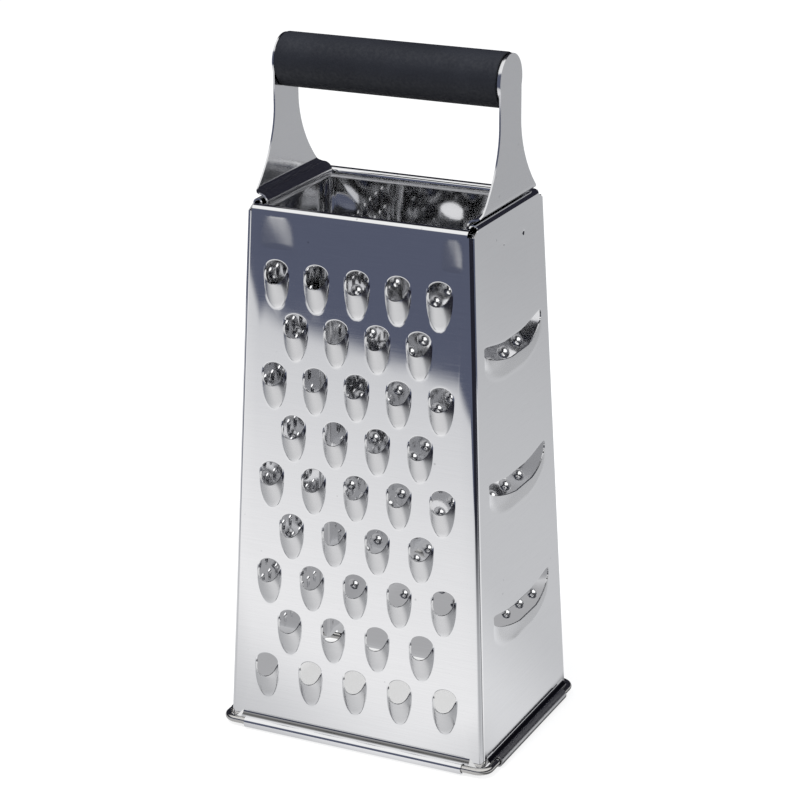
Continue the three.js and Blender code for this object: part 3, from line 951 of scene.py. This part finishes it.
def specks_group():
    """Small scattered specks: the cells above the rarity have one, as wide as the reach."""
    group, tree, given, made = new_group("specks", STEEL_SPECKS, ["Speck"])
    cells = tree.add("TexVoronoi", {"Vector": tree.place(), "Scale": given["Size"]}).outputs
    near = tree.fade(cells["Distance"], SPECK_CORE, given["Reach"])
    red = tree.add("SeparateColor", {"Color": cells["Color"]}).outputs["Red"]
    tree.feed(made["Speck"], tree.both(near, tree.maths("GREATER_THAN", red, given["Rarity"])))
    return group


def brushing_group():
    """Brushed sheet: fine level streaks, and the slow waves of pressed metal."""
    group, tree, given, made = new_group("brushing", BRUSHING, ["Streak", "Wave"])
    place = tree.place()
    stretch = tree.add("CombineXYZ", {"X": given["Along"], "Y": given["Along"], "Z": given["Across"]})
    scaled = tree.add("VectorMath", {0: place, 1: stretch.outputs["Vector"]}, operation="MULTIPLY")
    streak = tree.noise(scaled.outputs["Vector"], 1.0, STREAK_DETAIL, STREAK_ROUGHNESS)
    tree.feed(made["Streak"], tree.step(streak, *STREAK_RANGE))
    tree.feed(made["Wave"], tree.noise(place, given["Wave Size"], WAVE_DETAIL))
    return group


def steel(name, groups, light, dark, rough, streak_depth, wave_depth):
    """Metal with brushing in its colour, gloss and surface; rougher where it is drawn or shows wear, and
    darkened there and in the crevice of its flare as painted shade.
    """
    made, tree, surface = new_material(name)
    tree.feed(surface["Metallic"], 1.0)
    marks = tree.add("Group", BRUSHING, node_tree=groups["brushing"]).outputs
    speck = tree.add("Group", STEEL_SPECKS, node_tree=groups["specks"]).outputs["Speck"]
    pressed = tree.attribute("pressed")
    tone = tree.mix(marks["Streak"], dark, light)
    # Painted shade: drawn tongues, hollows under the rim and curls with wear are darkened towards black.
    tone = tree.mix(tree.both(pressed, DRAWN_SHADE), tone, SHADE_BLACK)
    # Painted shade: the crevice of the bottom flare is darkened nearly to black.
    tone = tree.mix(tree.both(tree.attribute("groove_shade"), GROOVE_SHADE_SHARE), tone, GROOVE_SHADE_COLOUR)
    tone = tree.mix(tree.both(speck, STEEL_SPECK_SHARE), tone, STEEL_SPECK)
    tree.feed(surface["Base Color"], tone)
    grain_rough = tree.step(marks["Streak"], 0.0, 1.0, *rough)
    drawn_rough = tree.both(pressed, DRAWN_ROUGHNESS)
    tree.feed(surface["Roughness"], tree.maths("ADD", grain_rough, drawn_rough))
    waves = tree.bump(marks["Wave"], wave_depth)
    tree.feed(surface["Normal"], tree.bump(marks["Streak"], streak_depth, below=waves))
    return made


def black_grip(groups):
    """Matt black plastic with a fine grain, faint clouds and a few pale scuffs."""
    made, tree, surface = new_material("grip_plastic")
    place = tree.place()
    grain = tree.noise(place, GRIP_GRAIN_SIZE, GRIP_GRAIN_DETAIL)
    cloud = tree.noise(place, GRIP_CLOUD_SIZE, GRIP_CLOUD_DETAIL)
    speck = tree.add("Group", GRIP_SPECKS, node_tree=groups["specks"]).outputs["Speck"]
    tone = tree.mix(tree.step(cloud, *GRIP_CLOUD_RANGE), GRIP_DARK, GRIP_LIGHT)
    tree.feed(surface["Base Color"], tree.mix(tree.both(speck, GRIP_SPECK_SHARE), tone, GRIP_SPECK))
    tree.feed(surface["Roughness"], tree.step(grain, *GRIP_GRAIN_RANGE, *GRIP_ROUGHNESS))
    tree.feed(surface["Normal"], tree.bump(grain, GRIP_GRAIN_DEPTH, GRIP_GRAIN_STRENGTH))
    return made


# Stage: floor, light and camera, in metres. TOWARD points along the floor to the camera.
CAMERA_PLACE = (0.3630967, -0.7444463, 0.4145568)
CAMERA_RIGHT = (0.9001663, 0.4354945, -0.0067167)
CAMERA_UP = (-0.1423357, 0.3087124, 0.9404452)
CAMERA_BACK = (0.4116322, -0.8456011, 0.3398789)
CAMERA_LENS = 116.2593
CAMERA_SENSOR = 36.0
CAMERA_NEAREST = 0.01
TOWARD = (0.4376, -0.8991, 0.0)
SIDEWAYS = (0.8991, 0.4376, 0.0)
UPWARD = (0.0, 0.0, 1.0)
KEY_PLACE = (-0.25, -0.35, 1.1)
KEY_TARGET = (0.0, 0.0, 0.1)
KEY_SIZE = 0.5
KEY_POWER = 9

# The room that the metal reflects. Pairs are where a change along a direction starts and ends.
WHITE = (1.0, 1.0, 1.0)
SOFT_LIGHT = (0.62, 0.63, 0.66)
ROOM_DARK = (0.1, 0.112, 0.165)
ROOM_BLACK = (0.02, 0.02, 0.03)
CEILING_LOW_EDGE = (0.48, 0.62)
CEILING_BACK_EDGE = (-0.5, -0.3)
WALL_TO_CAMERA = (-0.1, 0.3)
WALL_TO_RIGHT = (0.0, 0.15)

# The table top that the metal reflects: colours by part, then where each part starts and ends.
FLOOR_HALF = 1.5
FLOOR_DROP = -0.0003
FRONT_NEAR = (1.0, 0.995, 1.0)
FRONT_FAR = (0.675, 0.68, 0.70)
FRONT_RIGHT = (0.5, 0.505, 0.52)
BACK_FAR = (0.48, 0.485, 0.50)
BACK_NEAR = (0.61, 0.615, 0.63)
BACK_RIGHT = (0.8, 0.805, 0.82)
UNDER_BODY_SHADOW = (0.45, 0.45, 0.46)
FOOT_SHADE = (0.12, 0.12, 0.125)
FRONT_FADE = (0.0, 0.42)
BACK_FADE = (-0.45, -0.05)
FRONT_TO_RIGHT = (-0.02, 0.05)
BACK_TO_RIGHT = (0.0, 0.05)
BACK_TO_FRONT = (0.0, 0.1)
FRONT_END = (0.349, 0.384)
LEFT_END = (-0.34, -0.12)
LEFT_END_FRONT = (-0.12, 0.02)
RIGHT_END = (0.15, 0.37)
RIGHT_END_LEFT = (0.0, 0.08)
RIGHT_END_SLANT = (0.08, 0.22)
SLANT = 0.4
# Where painted shadow lies under the body, and painted shade beside the foot.
UNDER_X = (0.040, 0.056)
UNDER_Y = (0.028, 0.044)
FOOT_START = (0.0495, 0.0515)
FOOT_END = (0.0535, 0.0565)
FOOT_Y = (0.036, 0.06)
MATT_FLOOR = (0.8, 0.8, 0.8)
SEEN_FLOOR = (0.3, 0.3, 0.3)
# The table's glow to the camera, in full and dimmed as painted shadow under the body.
SEEN_GLOW = (0.84, 0.6)


def world_light():
    """White behind the object for the camera; for the metal, a dark room with a pale ceiling."""
    world = bpy.data.worlds.new("studio")
    bpy.context.scene.world = world
    world.use_nodes = True
    tree = Tree(world.node_tree)
    view = tree.place("Generated")
    toward = tree.along(view, TOWARD)
    ceiling = tree.both(
        tree.step(tree.along(view, UPWARD), *CEILING_LOW_EDGE), tree.step(toward, *CEILING_BACK_EDGE))
    walls = tree.mix(tree.step(toward, *WALL_TO_CAMERA), ROOM_BLACK, ROOM_DARK)
    walls = tree.mix(tree.step(tree.along(view, SIDEWAYS), *WALL_TO_RIGHT), walls, ROOM_BLACK)
    soft = tree.nodes["Background"]
    tree.feed(soft.inputs["Color"], SOFT_LIGHT)
    room = tree.add("Background", {"Color": tree.mix(ceiling, walls, WHITE)})
    white = tree.add("Background", {"Color": WHITE})
    shown = tree.by_ray(*(node.outputs["Background"] for node in (soft, room, white)))
    tree.feed(tree.nodes["World Output"].inputs["Surface"], shown)


def under_body(tree, x, y):
    """How far a place on the floor is covered by the body, where painted shadow goes."""
    across = tree.fade(tree.maths("ABSOLUTE", x), *UNDER_X)
    return tree.both(across, tree.fade(tree.maths("ABSOLUTE", y), *UNDER_Y))


def table_colour(tree, place, x, y, covered):
    """The table top as the metal shows it: pale, of limited size, with painted shadow under the body, close
    in front of it and beside the foot.
    """
    toward = tree.along(place, TOWARD)
    sideways = tree.along(place, SIDEWAYS)
    slant = tree.maths("MULTIPLY_ADD", sideways, SLANT, toward)
    reach = tree.add("VectorMath", {0: place}, operation="LENGTH").outputs["Value"]
    front = tree.mix(tree.step(toward, *FRONT_FADE), FRONT_NEAR, FRONT_FAR)
    front = tree.mix(tree.step(sideways, *FRONT_TO_RIGHT), front, FRONT_RIGHT)
    back = tree.mix(tree.step(toward, *BACK_FADE), BACK_FAR, BACK_NEAR)
    back = tree.mix(tree.step(slant, *BACK_TO_RIGHT), back, BACK_RIGHT)
    # Close in front of the body the back's darker colour runs in, as painted soft shadow.
    table = tree.mix(tree.step(toward, *BACK_TO_FRONT), back, front)
    left_end = tree.both(tree.fade(sideways, *LEFT_END), tree.fade(toward, *LEFT_END_FRONT))
    table = tree.mix(left_end, table, ROOM_DARK)
    table = tree.mix(tree.step(toward, *FRONT_END), table, ROOM_DARK)
    right_end = tree.both(tree.step(reach, *RIGHT_END), tree.step(sideways, *RIGHT_END_LEFT))
    right_end = tree.both(right_end, tree.step(slant, *RIGHT_END_SLANT))
    table = tree.mix(right_end, table, ROOM_BLACK)
    # Painted shadow on the table under the body.
    table = tree.mix(covered, table, UNDER_BODY_SHADOW)
    shade = tree.both(tree.step(x, *FOOT_START), tree.fade(x, *FOOT_END))
    shade = tree.both(shade, tree.fade(tree.maths("ABSOLUTE", y), *FOOT_Y))
    return tree.mix(shade, table, FOOT_SHADE)


def floor():
    """Pale table top: white to the camera with a soft shadow, partly lit and partly painted under the body,
    and of limited size to the metal.
    """
    bm = bmesh.new()
    bmesh.ops.create_grid(bm, x_segments=1, y_segments=1, size=FLOOR_HALF)
    bmesh.ops.translate(bm, verts=bm.verts, vec=(0, 0, FLOOR_DROP))
    mesh = bpy.data.meshes.new("floor")
    bm.to_mesh(mesh)
    bm.free()
    made = bpy.data.objects.new("floor", mesh)
    bpy.context.scene.collection.objects.link(made)
    material, tree, _ = new_material("pale_floor")
    mesh.materials.append(material)
    tree.nodes.remove(tree.nodes["Principled BSDF"])
    place = tree.place()
    split = tree.add("SeparateXYZ", {"Vector": place}).outputs
    covered = under_body(tree, split["X"], split["Y"])
    table = table_colour(tree, place, split["X"], split["Y"], covered)
    mirrored = tree.add("Emission", {"Color": table}).outputs["Emission"]
    matt = tree.add("BsdfDiffuse", {"Color": MATT_FLOOR}).outputs["BSDF"]
    pale = tree.add("BsdfDiffuse", {"Color": SEEN_FLOOR}).outputs["BSDF"]
    # Painted shadow: the glow is dimmer under the body, where the holes show it.
    glow = tree.add("Emission", {"Strength": tree.step(covered, 0.0, 1.0, *SEEN_GLOW)}).outputs["Emission"]
    seen = tree.add("AddShader", {0: pale, 1: glow}).outputs["Shader"]
    tree.feed(tree.nodes["Material Output"].inputs["Surface"], tree.by_ray(matt, mirrored, seen))


def key_softbox():
    data = bpy.data.lights.new("key_softbox", "AREA")
    data.shape = "RECTANGLE"
    data.size = data.size_y = KEY_SIZE
    data.energy = KEY_POWER
    made = bpy.data.objects.new("key_softbox", data)
    made.location = KEY_PLACE
    made.rotation_euler = (Vector(KEY_TARGET) - Vector(KEY_PLACE)).to_track_quat("-Z", "Y").to_euler()
    made.visible_glossy = False
    bpy.context.scene.collection.objects.link(made)


def camera():
    data = bpy.data.cameras.new("photo_view")
    data.sensor_width = CAMERA_SENSOR
    data.lens = CAMERA_LENS
    data.clip_start = CAMERA_NEAREST
    made = bpy.data.objects.new("photo_view", data)
    turn = Matrix((CAMERA_RIGHT, CAMERA_UP, CAMERA_BACK)).transposed().to_4x4()
    made.matrix_world = Matrix.Translation(CAMERA_PLACE) @ turn
    bpy.context.scene.collection.objects.link(made)
    bpy.context.scene.camera = made


bpy.context.scene.view_settings.view_transform = "Standard"
camera()
world_light()
floor()
key_softbox()
groups = {"brushing": brushing_group(), "specks": specks_group()}
panel_steel = steel(
    "panel_steel", groups, light=(0.855, 0.858, 0.867), dark=(0.82, 0.823, 0.833),
    rough=(0.035, 0.06), streak_depth=5e-8, wave_depth=1e-4)
arm_steel = steel(
    "arm_steel", groups, light=(0.76, 0.763, 0.775), dark=(0.73, 0.733, 0.745),
    rough=(0.13, 0.17), streak_depth=5e-8, wave_depth=5e-5)
wire_steel = steel(
    "wire_steel", groups, light=(0.66, 0.65, 0.63), dark=(0.58, 0.57, 0.55),
    rough=(0.12, 0.2), streak_depth=1e-7, wave_depth=5e-5)
front_panel(panel_steel)
back_panel(panel_steel)
right_panel(panel_steel)
left_panel(panel_steel)
base_wire(wire_steel)
arm("right_handle_arm", "right_arm", 1, arm_steel)
arm("left_handle_arm", "left_arm", -1, arm_steel)
grip(black_grip(groups))
